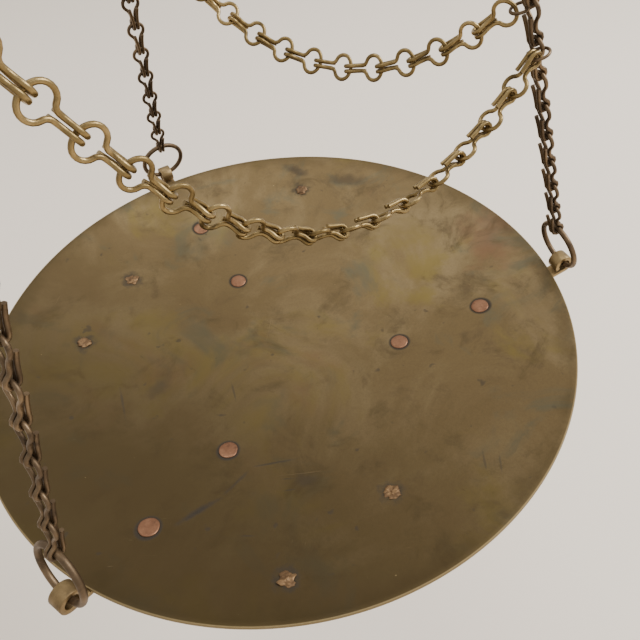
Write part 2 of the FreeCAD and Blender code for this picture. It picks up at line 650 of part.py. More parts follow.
def shackle(tag, end):
    """Two cheeks that rock on the end knife, and the pin that joins them below."""
    middle = (size("beam_thickness") + size("shackle_thickness")) / 2 + size("shackle_side_gap")
    half = size("beam_thickness") / 2 + size("shackle_side_gap") + size("shackle_thickness")
    pin = end + V(0, 0, -size("shackle_pin_drop"))
    corners = [
        ("Sizes.shackle_half_width", "Sizes.bearing_rise"),
        ("-Sizes.shackle_half_width", "Sizes.bearing_rise"),
        ("-Sizes.shackle_half_width", "-Sizes.shackle_pin_drop"),
        ("Sizes.shackle_half_width", "-Sizes.shackle_pin_drop"),
    ]
    discs = [
        ("0", "-Sizes.bearing_rise", "Sizes.shackle_head_r"),
        ("0", "-Sizes.shackle_pin_drop", "Sizes.shackle_foot_r"),
    ]
    cheeks = []
    for side in (-1, 1):
        name = "shackle_%s_%d" % (tag, side + 1)
        blank = plate(name + "_blank", corners, discs, "Sizes.shackle_thickness")
        blank.Placement = Place(end + V(0, side * middle, 0), Turn())
        notch = wedge(
            name + "_notch", "notch", "2 * Sizes.shackle_thickness", end + V(0, side * middle, 0),
            Turn(V(0, 1, 0), 180))
        pin_hole = sized(
            "Part::Cylinder", name + "_pin_hole", pin - V(0, half, 0), ALONG_Y,
            Radius="Sizes.shackle_pin_r + Sizes.press_gap", Height=shackle_width)
        cheeks.append(cut(name, blank, fuse(name + "_holes", [notch, pin_hole])))
    node("shackle_cheeks_" + tag, group("shackle_pair_" + tag, cheeks))
    shank = sized(
        "Part::Cylinder", "shackle_pin_shank_" + tag, pin - V(0, half, 0), ALONG_Y,
        Radius="Sizes.shackle_pin_r", Height=shackle_width)
    heads = []
    for side in (-1, 1):
        heads.append(sized(
            "Part::Cylinder", "shackle_pin_head_%s_%d" % (tag, side + 1),
            pin + V(0, side * half, 0), Turn(UP, V(0, side, 0)),
            Radius="Sizes.pin_head_r", Height="Sizes.pin_head_height"))
    node("shackle_pin_" + tag, fuse("shackle_pin_whole_" + tag, [shank] + heads))


def hanger(tag, x):
    """The ring on the shackle's pin, and the swivel that hangs in it and carries the plate."""
    node("hanger_ring_" + tag, sized(
        "Part::Torus", "hanger_torus_" + tag, V(x, 0, ring_z), ALONG_Y,
        Radius1="Sizes.hanger_ring_r", Radius2="Sizes.hanger_wire_r"))
    eye = sized(
        "Part::Torus", "swivel_eye_" + tag, V(x, 0, swivel_z), ALONG_X,
        Radius1="Sizes.swivel_eye_r", Radius2="Sizes.hanger_wire_r")
    head_z = plate_top_z - size("plate_thickness") - seat
    shank = sized(
        "Part::Cylinder", "swivel_shank_" + tag, V(x, 0, head_z), Radius="Sizes.swivel_shank_r",
        Height="Sizes.swivel_shank_length + Sizes.plate_thickness + Sizes.seat_gap")
    head = sized(
        "Part::Cylinder", "swivel_head_" + tag, V(x, 0, head_z - size("swivel_head_height")),
        Radius="Sizes.swivel_head_r", Height="Sizes.swivel_head_height")
    node("swivel_" + tag, fuse("swivel_whole_" + tag, [eye, shank, head]))


def chain_plate(tag, x):
    """The round plate that turns on the swivel, with a ring through each of its three holes."""
    bottom = plate_top_z - size("plate_thickness")
    blank = sized(
        "Part::Cylinder", "plate_blank_" + tag, V(x, 0, bottom),
        Radius="Sizes.plate_r", Height="Sizes.plate_thickness")
    holes_here = [sized(
        "Part::Cylinder", "plate_shank_hole_" + tag, V(x, 0, bottom),
        Radius="Sizes.swivel_shank_r + Sizes.running_gap", Height="Sizes.plate_thickness")]
    rings = []
    for name in STRAPS:
        line = lines[name]
        holes_here.append(sized(
            "Part::Cylinder", "plate_hole_%s_%s" % (name, tag),
            V(x, 0, bottom) + line["outward"] * size("plate_hole_circle"),
            Radius="Sizes.plate_hole_r", Height="Sizes.plate_thickness"))
        rings.append(sized(
            "Part::Torus", "plate_ring_%s_%s" % (name, tag),
            V(x, 0, plate_ring_z) + line["outward"] * plate_ring_out, Turn(UP, line["sideways"]),
            Radius1="Sizes.plate_ring_r", Radius2="Sizes.plate_wire_r"))
    node("chain_plate_" + tag, cut("plate_" + tag, blank, fuse("plate_holes_" + tag, holes_here)))
    node("plate_rings_" + tag, group("plate_ring_set_" + tag, rings))


def chain_joints(name, origin):
    line = lines[name]
    return [
        origin + line["bottom"] + line["direction"] * (k * pitch)
        for k in range(int(size("chain_links")) + 1)]


def suspension_chain(tag, name, origin):
    """Links with the eye up and the hook down, the free ends of the hooks towards the inside."""
    joints = chain_joints(name, origin)
    links = []
    for k in range(len(joints) - 1):
        solid = bottom_link if k == 0 else chain_link
        links.append(link_between(solid, joints[k + 1], joints[k], lines[name]["legs"]))
    chain("%s_chain_%s" % (name, tag), links)


def swag_end(name, link, origin, other, other_link):
    """The small ring that holds a swag's end: it grips one side of a chain link's eye and reaches
    towards the chain that the swag's other end hangs from."""
    line = lines[name]
    beside = line["legs"].cross(line["direction"])
    eye_end = chain_joints(name, origin)[link + 1]
    toward = chain_joints(other, origin)[other_link + 1] - eye_end
    toward = (toward - line["direction"] * line["direction"].dot(toward)).normalize()
    side = 1 if toward.dot(beside) > 0 else -1
    grip = (
        eye_end - line["direction"] * size("swag_ring_place")
        + beside * (side * size("chain_eye_half_width")))
    hold = size("swag_ring_wire_r") + size("chain_wire_r") + seat
    centre = grip + toward * (size("swag_ring_r") - hold)
    return {
        "centre": centre,
        "normal": line["direction"],
        "outermost": centre + toward * size("swag_ring_r"),
    }


def swag(tag, name, ends, legs_side):
    """A slack chain from the ring that its first eye hangs in to the ring that its last hook is
    round. Its links turn a quarter of a turn on the way: the first eye stands upright in its flat
    ring, and the last hook lies over its ring's wire, which bows away inside it."""
    start, finish = ends
    hold = size("swag_ring_wire_r") + size("swag_wire_r") + seat
    hook_half_width = size("swag_leg_half_gap") + size("swag_wire_r")
    bow = size("swag_ring_r") - sqrt(size("swag_ring_r") ** 2 - hook_half_width ** 2)
    hooked = finish["outermost"] + (finish["centre"] - finish["outermost"]).normalize() * (bow / 2)
    span = (hooked - start["outermost"]).Length
    count = round(size(name + "_slack") * span / pitch)
    joints = hanging_joints(start["outermost"], hooked, count, pitch)
    for _ in range(3):
        first = (joints[1] - joints[0]).normalize()
        joints = hanging_joints(start["outermost"] - first * hold, hooked, count, pitch)
    across = (joints[-1] - joints[0]).cross(UP).normalize() * legs_side
    along = [(joints[k + 1] - joints[k]).normalize() for k in range(count)]
    upright = start["normal"]
    wire = finish["normal"].cross(finish["outermost"] - finish["centre"])
    first_roll = pi - atan(across.dot(upright) / across.cross(along[0]).dot(upright))
    last_roll = pi / 2 + atan(across.cross(along[-1]).dot(wire) / across.dot(wire))
    links = []
    for k in range(count):
        roll = first_roll + (last_roll - first_roll) * k / (count - 1)
        legs = across * cos(roll) + across.cross(along[k]) * sin(roll)
        solid = end_swag_link if k == count - 1 else swag_link
        links.append(link_between(solid, joints[k], joints[k + 1], legs))
    chain("%s_%s" % (name, tag), links)


def strap_frame(strap, origin):
    return Place(
        origin + strap.centre, Turn(strap.along, strap.across, strap.axis_up, "XZY"))


def radial_frame(strap, origin, which):
    """At a rivet, on the pan's inner face, with +Z into the pan."""
    angle = strap.angle_of(strap.rivet(which))
    inward = strap.outward(angle) * -1
    return Place(origin + strap.point(sphere_r, angle), Turn(UP, inward))


def sector(name, strap, base, first_angle, span, radius, width):
    """Part of a cylinder across a strap, from an angle on its great circle outwards."""
    turn = Turn(strap.outward(first_angle), strap.across, strap.across * -1, "ZXY")
    piece = sized("Part::Cylinder", name, base, turn, Radius=radius, Height=width)
    piece.Angle = span
    return piece


def rolled_strap(tag, strap, origin):
    """A strip that follows the pan's underside, narrows past the rim and is rolled into an eye."""
    label = "%s_strap_%s" % (strap.name, tag)
    middle = origin + strap.centre
    half = strap.across * size("strap_half_width")
    span = degrees(strap.eye_angle - strap.start_angle)
    outer = sector(
        label + "_outer", strap, middle + half, strap.start_angle, span,
        under_formula + " + Sizes.strap_thickness", "2 * Sizes.strap_half_width")
    inner = sector(
        label + "_inner", strap, middle + half, strap.start_angle, span,
        under_formula, "2 * Sizes.strap_half_width")
    start = strap.rivet("inner") - size("strap_inner_end")
    eye_reach = strap_eye_depth * sin(strap.eye_angle)
    outline = doc.addObject("PartDesign::Body", label + "_width")
    sketch = sketch_on(outline, "XY_Plane")
    reach = "(Sizes.%s_strap_inner_rivet - Sizes.strap_inner_end)" % strap.name
    neck_start = "%.6f - Sizes.strap_neck_start" % eye_reach
    neck_end = "%.6f - Sizes.strap_neck_end" % eye_reach
    far = "%.6f + Sizes.strap_neck_end" % eye_reach
    polygon(sketch, [
        (reach, "-Sizes.strap_half_width"),
        (neck_start, "-Sizes.strap_half_width"),
        (neck_end, "-Sizes.strap_neck_half_width"),
        (far, "-Sizes.strap_neck_half_width"),
        (far, "Sizes.strap_neck_half_width"),
        (neck_end, "Sizes.strap_neck_half_width"),
        (neck_start, "Sizes.strap_half_width"),
        (reach, "Sizes.strap_half_width"),
    ])
    pad(outline, sketch, "2 * %s + 4 * Sizes.strap_thickness" % under_formula)
    outline.Placement = strap_frame(strap, origin)
    strip = doc.addObject("Part::MultiCommon", label + "_strip")
    strip.Shapes = [cut(label + "_shell", outer, inner), outline]
    neck_half = strap.across * size("strap_neck_half_width")
    roll_outer = sector(
        label + "_roll_outer", strap, origin + strap.eye + neck_half, strap.eye_angle,
        size("strap_eye_wrap"), "Sizes.strap_eye_r + Sizes.strap_thickness",
        "2 * Sizes.strap_neck_half_width")
    roll_inner = sized(
        "Part::Cylinder", label + "_roll_inner", origin + strap.eye + neck_half,
        Turn(UP, strap.across * -1), Radius="Sizes.strap_eye_r",
        Height="2 * Sizes.strap_neck_half_width")
    roll = cut(label + "_roll", roll_outer, roll_inner)
    holes_here = []
    for which in ("inner", "outer"):
        frame = radial_frame(strap, origin, which)
        holes_here.append(sized(
            "Part::Cylinder", "%s_%s_hole" % (label, which),
            frame.multVec(V(0, 0, -3 * size("strap_thickness") - size("pan_wall"))), frame.Rotation,
            Radius="Sizes.rivet_shank_r + Sizes.press_gap",
            Height="6 * Sizes.strap_thickness + 2 * Sizes.pan_wall"))
    blank = fuse(label + "_blank", [strip, roll])
    node(label, cut(label + "_drilled", blank, fuse(label + "_holes", holes_here)))
    return holes_here


def rivet(name, frame):
    """A copper rivet through pan and strap, with a low round head inside the pan."""
    depth = "(Sizes.pan_wall + Sizes.strap_seat + Sizes.strap_thickness)"
    length = size("pan_wall") + size("strap_seat") + size("strap_thickness")
    shank = sized(
        "Part::Cylinder", name + "_shank", frame.multVec(V(0, 0, -length)), frame.Rotation,
        Radius="Sizes.rivet_shank_r", Height=depth + " + Sizes.rivet_lift")
    head = sized(
        "Part::Ellipsoid", name + "_head", frame.multVec(V(0, 0, size("rivet_lift"))),
        frame.Rotation, Radius1="Sizes.rivet_head_rise", Radius2="Sizes.rivet_head_r", Angle1="0",
        Angle2="90")
    tail = sized(
        "Part::Ellipsoid", name + "_tail", frame.multVec(V(0, 0, -length)), frame.Rotation,
        Radius1="Sizes.rivet_tail_rise", Radius2="Sizes.rivet_tail_r", Angle1="-90", Angle2="0")
    return fuse(name, [shank, head, tail])


def pan_sheet(tag, origin):
    """The dished sheet: two arcs about one centre, turned about the pan's axis."""
    body = doc.addObject("PartDesign::Body", "pan_sheet_" + tag)
    sketch = sketch_on(body, "XZ_Plane")
    radius = size("pan_radius")
    centre_y = sphere_r - size("pan_depth")
    rim_angle = asin(radius / sphere_r)
    thick_r = sphere_r + size("pan_wall")
    centre = V(0, centre_y, 0)
    inner = sketch.addGeometry(Part.ArcOfCircle(
        Part.Circle(centre, UP, sphere_r), -pi / 2, -pi / 2 + rim_angle))
    outer = sketch.addGeometry(Part.ArcOfCircle(
        Part.Circle(centre, UP, thick_r), -pi / 2, -pi / 2 + rim_angle))
    rim = sketch.addGeometry(Part.LineSegment(
        V(radius, 0, 0), V(thick_r * sin(rim_angle), centre_y - thick_r * cos(rim_angle), 0)))
    middle = sketch.addGeometry(Part.LineSegment(
        V(0, centre_y - sphere_r, 0), V(0, centre_y - thick_r, 0)))
    for one, one_point, other, other_point in (
            (inner, 2, rim, 1), (outer, 2, rim, 2), (inner, 1, middle, 1), (outer, 1, middle, 2),
            (inner, 3, outer, 3)):
        sketch.addConstraint(Sketcher.Constraint("Coincident", one, one_point, other, other_point))
    sketch.addConstraint(Sketcher.Constraint("PointOnObject", inner, 3, -2))
    sketch.addConstraint(Sketcher.Constraint("PointOnObject", inner, 1, -2))
    sketch.addConstraint(Sketcher.Constraint("PointOnObject", outer, 1, -2))
    sketch.addConstraint(Sketcher.Constraint("PointOnObject", inner, 3, rim))
    sketch.addConstraint(Sketcher.Constraint("PointOnObject", inner, 2, -1))
    bind(sketch, "DistanceX", inner, 2, "Sizes.pan_radius")
    for arc, formula in ((inner, sphere_formula), (outer, sphere_formula + " + Sizes.pan_wall")):
        index = sketch.addConstraint(Sketcher.Constraint(
            "Radius", arc, sphere_r if arc == inner else thick_r))
        sketch.setExpression("Constraints[%d]" % index, formula)
    turned = body.newObject("PartDesign::Revolution", "pan_turned_" + tag)
    turned.Profile = sketch
    turned.ReferenceAxis = (sketch, ["V_Axis"])
    turned.Angle = 360
    body.Placement = Place(origin, Turn())
    return body


for side, tag in ((-1, "lh"), (1, "rh")):
    x = side * size("beam_half")
    origin = V(x, 0, rim_z)
    shackle(tag, fulcrum + V(x, 0, 0))
    hanger(tag, x)
    chain_plate(tag, x)
    rim_rings = []
    rivets = []
    rivet_holes = []
    for name in STRAPS:
        strap = straps[name]
        line = lines[name]
        suspension_chain(tag, name, origin)
        rivet_holes += rolled_strap(tag, strap, origin)
        for which in ("inner", "outer"):
            rivets.append(rivet(
                "%s_%s_rivet_%s" % (name, which, tag), radial_frame(strap, origin, which)))
        rim_rings.append(sized(
            "Part::Torus", "rim_ring_%s_%s" % (name, tag), origin + line["ring"],
            Turn(UP, line["legs"]),
            Radius1="Sizes.rim_ring_r", Radius2="Sizes.rim_wire_r"))
    node("rim_rings_" + tag, group("rim_ring_set_" + tag, rim_rings))
    node("pan_rivets_" + tag, group("pan_rivet_set_" + tag, rivets))
    sheet_body = pan_sheet(tag, origin)
    node("pan_" + tag, cut("pan_drilled_" + tag, sheet_body, fuse("pan_holes_" + tag, rivet_holes)))
    swag_rings = []
    for name, first, first_link, last, last_link, legs_side in SWAGS:
        ends = (
            swag_end(first, first_link, origin, last, last_link),
            swag_end(last, last_link, origin, first, first_link))
        for number, end in enumerate(ends):
            swag_rings.append(sized(
                "Part::Torus", "%s_ring_%d_%s" % (name, number, tag), end["centre"],
                Turn(UP, end["normal"]),
                Radius1="Sizes.swag_ring_r", Radius2="Sizes.swag_ring_wire_r"))
        swag(tag, name, ends, legs_side)
    node("swag_rings_" + tag, group("swag_ring_set_" + tag, swag_rings))

# ---------------------------------------------------------------------------------------------
doc.recompute()

for piece in doc.Objects:
    if "Invalid" in piece.State or "Error" in piece.State:
        raise RuntimeError("%s failed: %s" % (piece.Name, piece.State))
for label, piece in nodes.items():
    if piece.Shape.isNull() or not piece.Shape.isValid() or not piece.Shape.Solids:
        raise RuntimeError("%s has no valid solid" % label)

os.makedirs("parts", exist_ok=True)
for label, piece in nodes.items():
    piece.Shape.exportStep("parts/%s.step" % label)
print("%d nodes, %d solids" % (len(nodes), sum(len(piece.Shape.Solids) for piece in nodes.values())))
print("pan rim plane at z = %.3f" % rim_z)
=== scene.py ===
from math import asin, cos, pi, radians, sin, sqrt

import bpy
import numpy as np
from mathutils import Matrix, Vector, noise


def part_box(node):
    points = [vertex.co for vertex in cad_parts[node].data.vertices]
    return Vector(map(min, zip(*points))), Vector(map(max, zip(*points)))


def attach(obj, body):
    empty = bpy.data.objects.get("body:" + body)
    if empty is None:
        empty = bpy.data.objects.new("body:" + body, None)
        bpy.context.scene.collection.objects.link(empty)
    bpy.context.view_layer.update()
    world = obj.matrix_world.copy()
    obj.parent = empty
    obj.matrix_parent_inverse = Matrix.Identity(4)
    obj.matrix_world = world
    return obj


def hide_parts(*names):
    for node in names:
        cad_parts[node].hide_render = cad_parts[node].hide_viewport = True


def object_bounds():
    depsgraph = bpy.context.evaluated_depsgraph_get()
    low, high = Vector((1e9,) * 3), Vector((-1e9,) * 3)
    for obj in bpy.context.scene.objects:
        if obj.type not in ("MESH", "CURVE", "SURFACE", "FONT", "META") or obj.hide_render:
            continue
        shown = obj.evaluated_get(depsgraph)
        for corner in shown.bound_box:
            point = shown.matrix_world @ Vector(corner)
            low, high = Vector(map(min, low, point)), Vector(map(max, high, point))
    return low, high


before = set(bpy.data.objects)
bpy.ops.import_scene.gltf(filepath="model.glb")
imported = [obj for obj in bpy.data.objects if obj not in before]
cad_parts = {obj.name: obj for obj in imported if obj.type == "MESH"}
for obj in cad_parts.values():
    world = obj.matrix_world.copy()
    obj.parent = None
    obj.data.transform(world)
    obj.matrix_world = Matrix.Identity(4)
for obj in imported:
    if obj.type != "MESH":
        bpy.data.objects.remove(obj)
cad_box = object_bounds()

# ---------------------------------------------------------------------------------------------
# Where the right-hand pan lies. It is a shallow piece of a sphere with its rim level, so its box
# gives its centre, its radius and the centre of the sphere.
WALL = 0.0012
FITTING_ROUNDS = 8

pan_low, pan_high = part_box("pan_rh")
pan_centre = Vector(((pan_low.x + pan_high.x) / 2, (pan_low.y + pan_high.y) / 2, pan_high.z))
pan_depth = pan_high.z - pan_low.z - WALL
pan_radius = outer_radius = (pan_high.x - pan_low.x) / 2
for _ in range(FITTING_ROUNDS):
    sphere_radius = (pan_radius ** 2 + pan_depth ** 2) / (2 * pan_depth)
    pan_radius = outer_radius * sphere_radius / (sphere_radius + WALL)
sphere_centre = pan_centre + Vector((0, 0, sphere_radius - pan_depth))
shifts = {"rh": Vector((0, 0, 0)), "lh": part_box("pan_lh")[0] - pan_low}

# ---------------------------------------------------------------------------------------------
# Camera: held in the hand just in front of the right-hand pan, looking down into it.
AZIMUTH = radians(-28.09)
ELEVATION = radians(48.13)
ROLL = radians(-5.80)

back = Vector((sin(AZIMUTH) * cos(ELEVATION), -cos(AZIMUTH) * cos(ELEVATION), sin(ELEVATION)))
level = (-back).cross(Vector((0, 0, 1))).normalized()
upright = level.cross(-back)
right = level * cos(ROLL) + upright * sin(ROLL)
above = upright * cos(ROLL) - level * sin(ROLL)
camera = bpy.data.objects.new("camera", bpy.data.cameras.new("camera"))
camera.data.lens = 31.5
camera.data.sensor_width = 36
camera.data.clip_start = 0.01
camera.matrix_world = Matrix.Translation(pan_centre + Vector((-0.0679, -0.1705, 0.1956))) @ Matrix(
    (right, above, back)).transposed().to_4x4()
bpy.context.scene.collection.objects.link(camera)
bpy.context.scene.camera = camera

# ---------------------------------------------------------------------------------------------
# Studio: a plain pale floor well below the hanging scale, an even pale surround, a small lamp
# overhead that the pans shine in, and a larger one beside them, as a window is.
FLOOR_DROP = 0.35
FLOOR_SIZE = 40


def nothing_selected():
    if bpy.context.object and bpy.context.object.mode != "OBJECT":
        bpy.ops.object.mode_set(mode="OBJECT")
    bpy.ops.object.select_all(action="DESELECT")


def new_material(name):
    material = bpy.data.materials.new(name)
    material.use_nodes = True
    return material, material.node_tree, material.node_tree.nodes["Principled BSDF"]


nothing_selected()
floor_point = (pan_centre.x, pan_centre.y, cad_box[0].z - FLOOR_DROP)
bpy.ops.mesh.primitive_plane_add(size=FLOOR_SIZE, location=floor_point)
floor = bpy.context.object
floor.name = "floor"
floor_paint, _, floor_shader = new_material("floor_paint")
floor_shader.inputs["Base Color"].default_value = (0.93, 0.83, 0.71, 1)
floor_shader.inputs["Roughness"].default_value = 0.9
floor.data.materials.append(floor_paint)

world = bpy.data.worlds.new("studio")
world.use_nodes = True
world.node_tree.nodes["Background"].inputs["Color"].default_value = (1.0, 0.975, 0.94, 1)
world.node_tree.nodes["Background"].inputs["Strength"].default_value = 0.92
bpy.context.scene.world = world


def soft_lamp(name, offset, size, power):
    nothing_selected()
    bpy.ops.object.light_add(type="AREA", location=pan_centre + Vector(offset))
    lamp = bpy.context.object
    lamp.name = name
    lamp.data.shape = "SQUARE"
    lamp.data.size = size
    lamp.data.energy = power
    lamp.rotation_euler = Vector(offset).to_track_quat("Z", "Y").to_euler()


soft_lamp("overhead_lamp", (0.1, 0.5, 2.0), 0.9, 10)
soft_lamp("window_lamp", (1.9, -0.7, 1.7), 1.2, 72)

# ---------------------------------------------------------------------------------------------
# Pans: spun from brass sheet, knocked about a little by use, and dull with age. The tarnish is
# cloudy, with hair scratches, dark smears and dirt round the rivets; painted shade darkens one edge.
RINGS = 64
PAN_SIDES = 240
DENT = 0.00014
DENT_SPREAD = 11
RIM_ROUND = 0.00025
RIVET_DIMPLE = 0.0002
HEAD_RADIUS = 0.0041
RIVET_DIMPLE_RADIUS = 0.011
PAN_LIGHT = (0.222, 0.160, 0.078, 1)
PAN_MIDDLE = (0.155, 0.106, 0.046, 1)
PAN_DARK = (0.092, 0.064, 0.030, 1)
OLIVE = (0.190, 0.138, 0.036, 1)
GREY_GREEN = (0.110, 0.100, 0.060, 1)
RED_BROWN = (0.190, 0.098, 0.050, 1)
DEEP_BROWN = (0.050, 0.033, 0.011, 1)
DIRT = (0.026, 0.018, 0.010, 1)
# Bare brass for pale specks; also the colour of the painted highlight on the rim.
BARE_BRASS_AND_HIGHLIGHT = (0.42, 0.31, 0.15, 1)
# Painted shade: the side of each pan that is drawn darker.
PAINTED_SHADE_TOWARDS = Vector((-0.93, -0.37, 0))
SOLDER_SPOTS = ((0.1097, 53.0), (0.0989, -93.4), (0.1194, -118.0), (0.0927, 121.6), (0.0971, 150.0))
# Smears and deep scratches: x and y from the pan's centre, degrees, half length, half width, depth.
MARKS = (
    (-0.072, -0.063, 6, 0.013, 0.0020, 0.95),
    (-0.054, -0.059, 20, 0.010, 0.0012, 0.60),
    (-0.037, -0.059, -22, 0.011, 0.0008, 0.75),
    (-0.036, -0.069, -30, 0.0035, 0.0005, 0.6),
    (-0.038, -0.074, -25, 0.0032, 0.0005, 0.6),
    (-0.060, -0.083, -34, 0.0035, 0.0005, 0.5),
    (-0.030, -0.074, 0, 0.006, 0.005, 0.4),
    (-0.034, -0.014, -105, 0.008, 0.0007, 0.5),
    (-0.080, 0.006, -101, 0.012, 0.0008, 0.5),
    (-0.063, 0.006, 20, 0.008, 0.006, 0.35),
    (0.030, -0.110, -125, 0.007, 0.0007, 0.5),
    (0.034, -0.114, -129, 0.006, 0.0006, 0.5),
    (0.071, 0.103, -57, 0.011, 0.005, 0.55),
    (0.092, 0.076, -46, 0.020, 0.006, 0.45))


def link_nodes(tree, *pairs):
    for source, target in pairs:
        tree.links.new(source, target)


def add(tree, kind, **settings):
    node = tree.nodes.new("ShaderNode" + kind)
    for name, value in settings.items():
        setattr(node, name, value)
    return node


def noise_node(tree, vector, scale, detail=6.0, rough=0.6, distortion=0.0):
    node = add(tree, "TexNoise")
    node.inputs["Detail"].default_value = detail
    node.inputs["Roughness"].default_value = rough
    node.inputs["Distortion"].default_value = distortion
    link_nodes(tree, (vector, node.inputs["Vector"]))
    if hasattr(scale, "links"):
        link_nodes(tree, (scale, node.inputs["Scale"]))
    else:
        node.inputs["Scale"].default_value = scale
    return node.outputs["Fac"]


def ramp(tree, value, low, high, to_low=0.0, to_high=1.0):
    node = add(tree, "MapRange", interpolation_type="SMOOTHSTEP")
    node.inputs["From Min"].default_value = low
    node.inputs["From Max"].default_value = high
    node.inputs["To Min"].default_value = to_low
    node.inputs["To Max"].default_value = to_high
    link_nodes(tree, (value, node.inputs["Value"]))
    return node.outputs["Result"]


def math_node(tree, operation, first, second):
    node = add(tree, "Math", operation=operation)
    for socket, value in zip(node.inputs, (first, second)):
        if hasattr(value, "links"):
            link_nodes(tree, (value, socket))
        else:
            socket.default_value = value
    return node.outputs[0]


def mixed(tree, amount, first, second, blend="MIX"):
    node = add(tree, "Mix", data_type="RGBA", blend_type=blend)
    for socket, value in zip((node.inputs[0], node.inputs[6], node.inputs[7]), (amount, first, second)):
        if hasattr(value, "links"):
            link_nodes(tree, (value, socket))
        else:
            socket.default_value = value
    return node.outputs[2]


def new_group(name, inputs, outputs):
    group = bpy.data.node_groups.new(name, "ShaderNodeTree")
    for label, kind in inputs:
        group.interface.new_socket(label, in_out="INPUT", socket_type="NodeSocket" + kind)
    for label, kind in outputs:
        group.interface.new_socket(label, in_out="OUTPUT", socket_type="NodeSocket" + kind)
    return group, group.nodes.new("NodeGroupInput").outputs, group.nodes.new("NodeGroupOutput").inputs


# Tarnish: three colours of one metal in clouds, with a fine grain that also roughens it.
tarnish, given, result = new_group(
    "tarnish",
    (("Vector", "Vector"), ("Scale", "Float"), ("Light", "Color"), ("Middle", "Color"),
     ("Dark", "Color")),
    (("Color", "Color"), ("Cloud", "Float"), ("Grain", "Float")))
cloud = noise_node(tarnish, given["Vector"], given["Scale"], 7, 0.62, 0.7)
patch = noise_node(
    tarnish, given["Vector"], math_node(tarnish, "MULTIPLY", given["Scale"], 3.1), 8, 0.68, 0.4)
grain = noise_node(
    tarnish, given["Vector"], math_node(tarnish, "MULTIPLY", given["Scale"], 60), 4, 0.7)
base = mixed(tarnish, ramp(tarnish, cloud, 0.40, 0.66), given["Middle"], given["Light"])
base = mixed(
    tarnish, math_node(tarnish, "MULTIPLY", ramp(tarnish, patch, 0.50, 0.72), 0.75), base, given["Dark"])
shade = ramp(tarnish, grain, 0.3, 0.7, 0.90, 1.06)
tint = add(tarnish, "CombineXYZ")
link_nodes(tarnish, *((shade, socket) for socket in tint.inputs))
link_nodes(
    tarnish,
    (mixed(tarnish, 1.0, base, tint.outputs[0], "MULTIPLY"), result["Color"]),
    (cloud, result["Cloud"]),
    (grain, result["Grain"]))

# Scratches: hair lines along one direction, broken into short strokes.
scratches, given, result = new_group(
    "scratches",
    (("Vector", "Vector"), ("Scale", "Float"), ("Angle", "Float")),
    (("Mask", "Float"),))
turn = add(scratches, "VectorRotate", rotation_type="Z_AXIS")
stretch = add(scratches, "VectorMath", operation="MULTIPLY")
stretch.inputs[1].default_value = (0.035, 1, 1)
link_nodes(
    scratches,
    (given["Vector"], turn.inputs["Vector"]),
    (given["Angle"], turn.inputs["Angle"]),
    (turn.outputs[0], stretch.inputs[0]))
hair = noise_node(scratches, stretch.outputs[0], given["Scale"], 2, 0.5)
where = noise_node(
    scratches, given["Vector"], math_node(scratches, "MULTIPLY", given["Scale"], 0.04), 3, 0.6)
link_nodes(
    scratches,
    (math_node(
        scratches, "MULTIPLY", ramp(scratches, hair, 0.70, 0.80), ramp(scratches, where, 0.52, 0.66)),
     result["Mask"]))

# Mark: one soft-edged stroke, longer than it is wide, at a place and an angle.
mark, given, result = new_group(
    "mark",
    (("Vector", "Vector"), ("Place", "Vector"), ("Angle", "Float"), ("Half", "Vector"),
     ("Depth", "Float")),
    (("Mask", "Float"),))
away = add(mark, "VectorMath", operation="SUBTRACT")
turn = add(mark, "VectorRotate", rotation_type="Z_AXIS")
scaled = add(mark, "VectorMath", operation="DIVIDE")
flat = add(mark, "VectorMath", operation="MULTIPLY")
flat.inputs[1].default_value = (1, 1, 0)
reach = add(mark, "VectorMath", operation="LENGTH")
link_nodes(
    mark,
    (given["Vector"], away.inputs[0]), (given["Place"], away.inputs[1]),
    (away.outputs[0], turn.inputs["Vector"]), (given["Angle"], turn.inputs["Angle"]),
    (turn.outputs[0], scaled.inputs[0]), (given["Half"], scaled.inputs[1]),
    (scaled.outputs[0], flat.inputs[0]), (flat.outputs[0], reach.inputs[0]))
uneven = math_node(
    mark, "MULTIPLY_ADD", noise_node(mark, given["Vector"], 190, 4, 0.65), 1.3)
link_nodes(mark, (reach.outputs["Value"], uneven.node.inputs[2]))
link_nodes(
    mark, (math_node(mark, "MULTIPLY", ramp(mark, uneven, 0.8, 1.65, 1.0, 0.0), given["Depth"]),
           result["Mask"]))


def place_group(tree, group, vector, **values):
    node = add(tree, "Group", node_tree=group)
    link_nodes(tree, (vector, node.inputs["Vector"]))
    for name, value in values.items():
        node.inputs[name].default_value = value
    return node.outputs


def bumped(tree, shader, height, distance, strength=1.0):
    bump = add(tree, "Bump")
    bump.inputs["Strength"].default_value = strength
    bump.inputs["Distance"].default_value = distance
    link_nodes(tree, (height, bump.inputs["Height"]), (bump.outputs["Normal"], shader.inputs["Normal"]))


def solids_of(node):
    """The corner points of each separate solid in a CAD node."""
    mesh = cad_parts[node].data
    corners = np.zeros(len(mesh.vertices) * 3, np.float32)
    mesh.vertices.foreach_get("co", corners)
    corners = corners.reshape(-1, 3).astype(float)
    faces = np.zeros(len(mesh.loops), np.int32)
    mesh.loops.foreach_get("vertex_index", faces)
    _, shared = np.unique(np.round(corners, 6), axis=0, return_inverse=True)
    shared = shared.ravel()
    faces = shared[faces].reshape(-1, 3)
    label = np.arange(shared.max() + 1)
    while True:
        lowest = label.copy()
        np.minimum.at(lowest, faces.ravel(), np.repeat(label[faces].min(axis=1), 3))
        lowest = lowest[lowest]
        if (lowest == label).all():
            break
        label = lowest
    owner = label[shared]
    return [corners[owner == one] for one in np.unique(owner)]


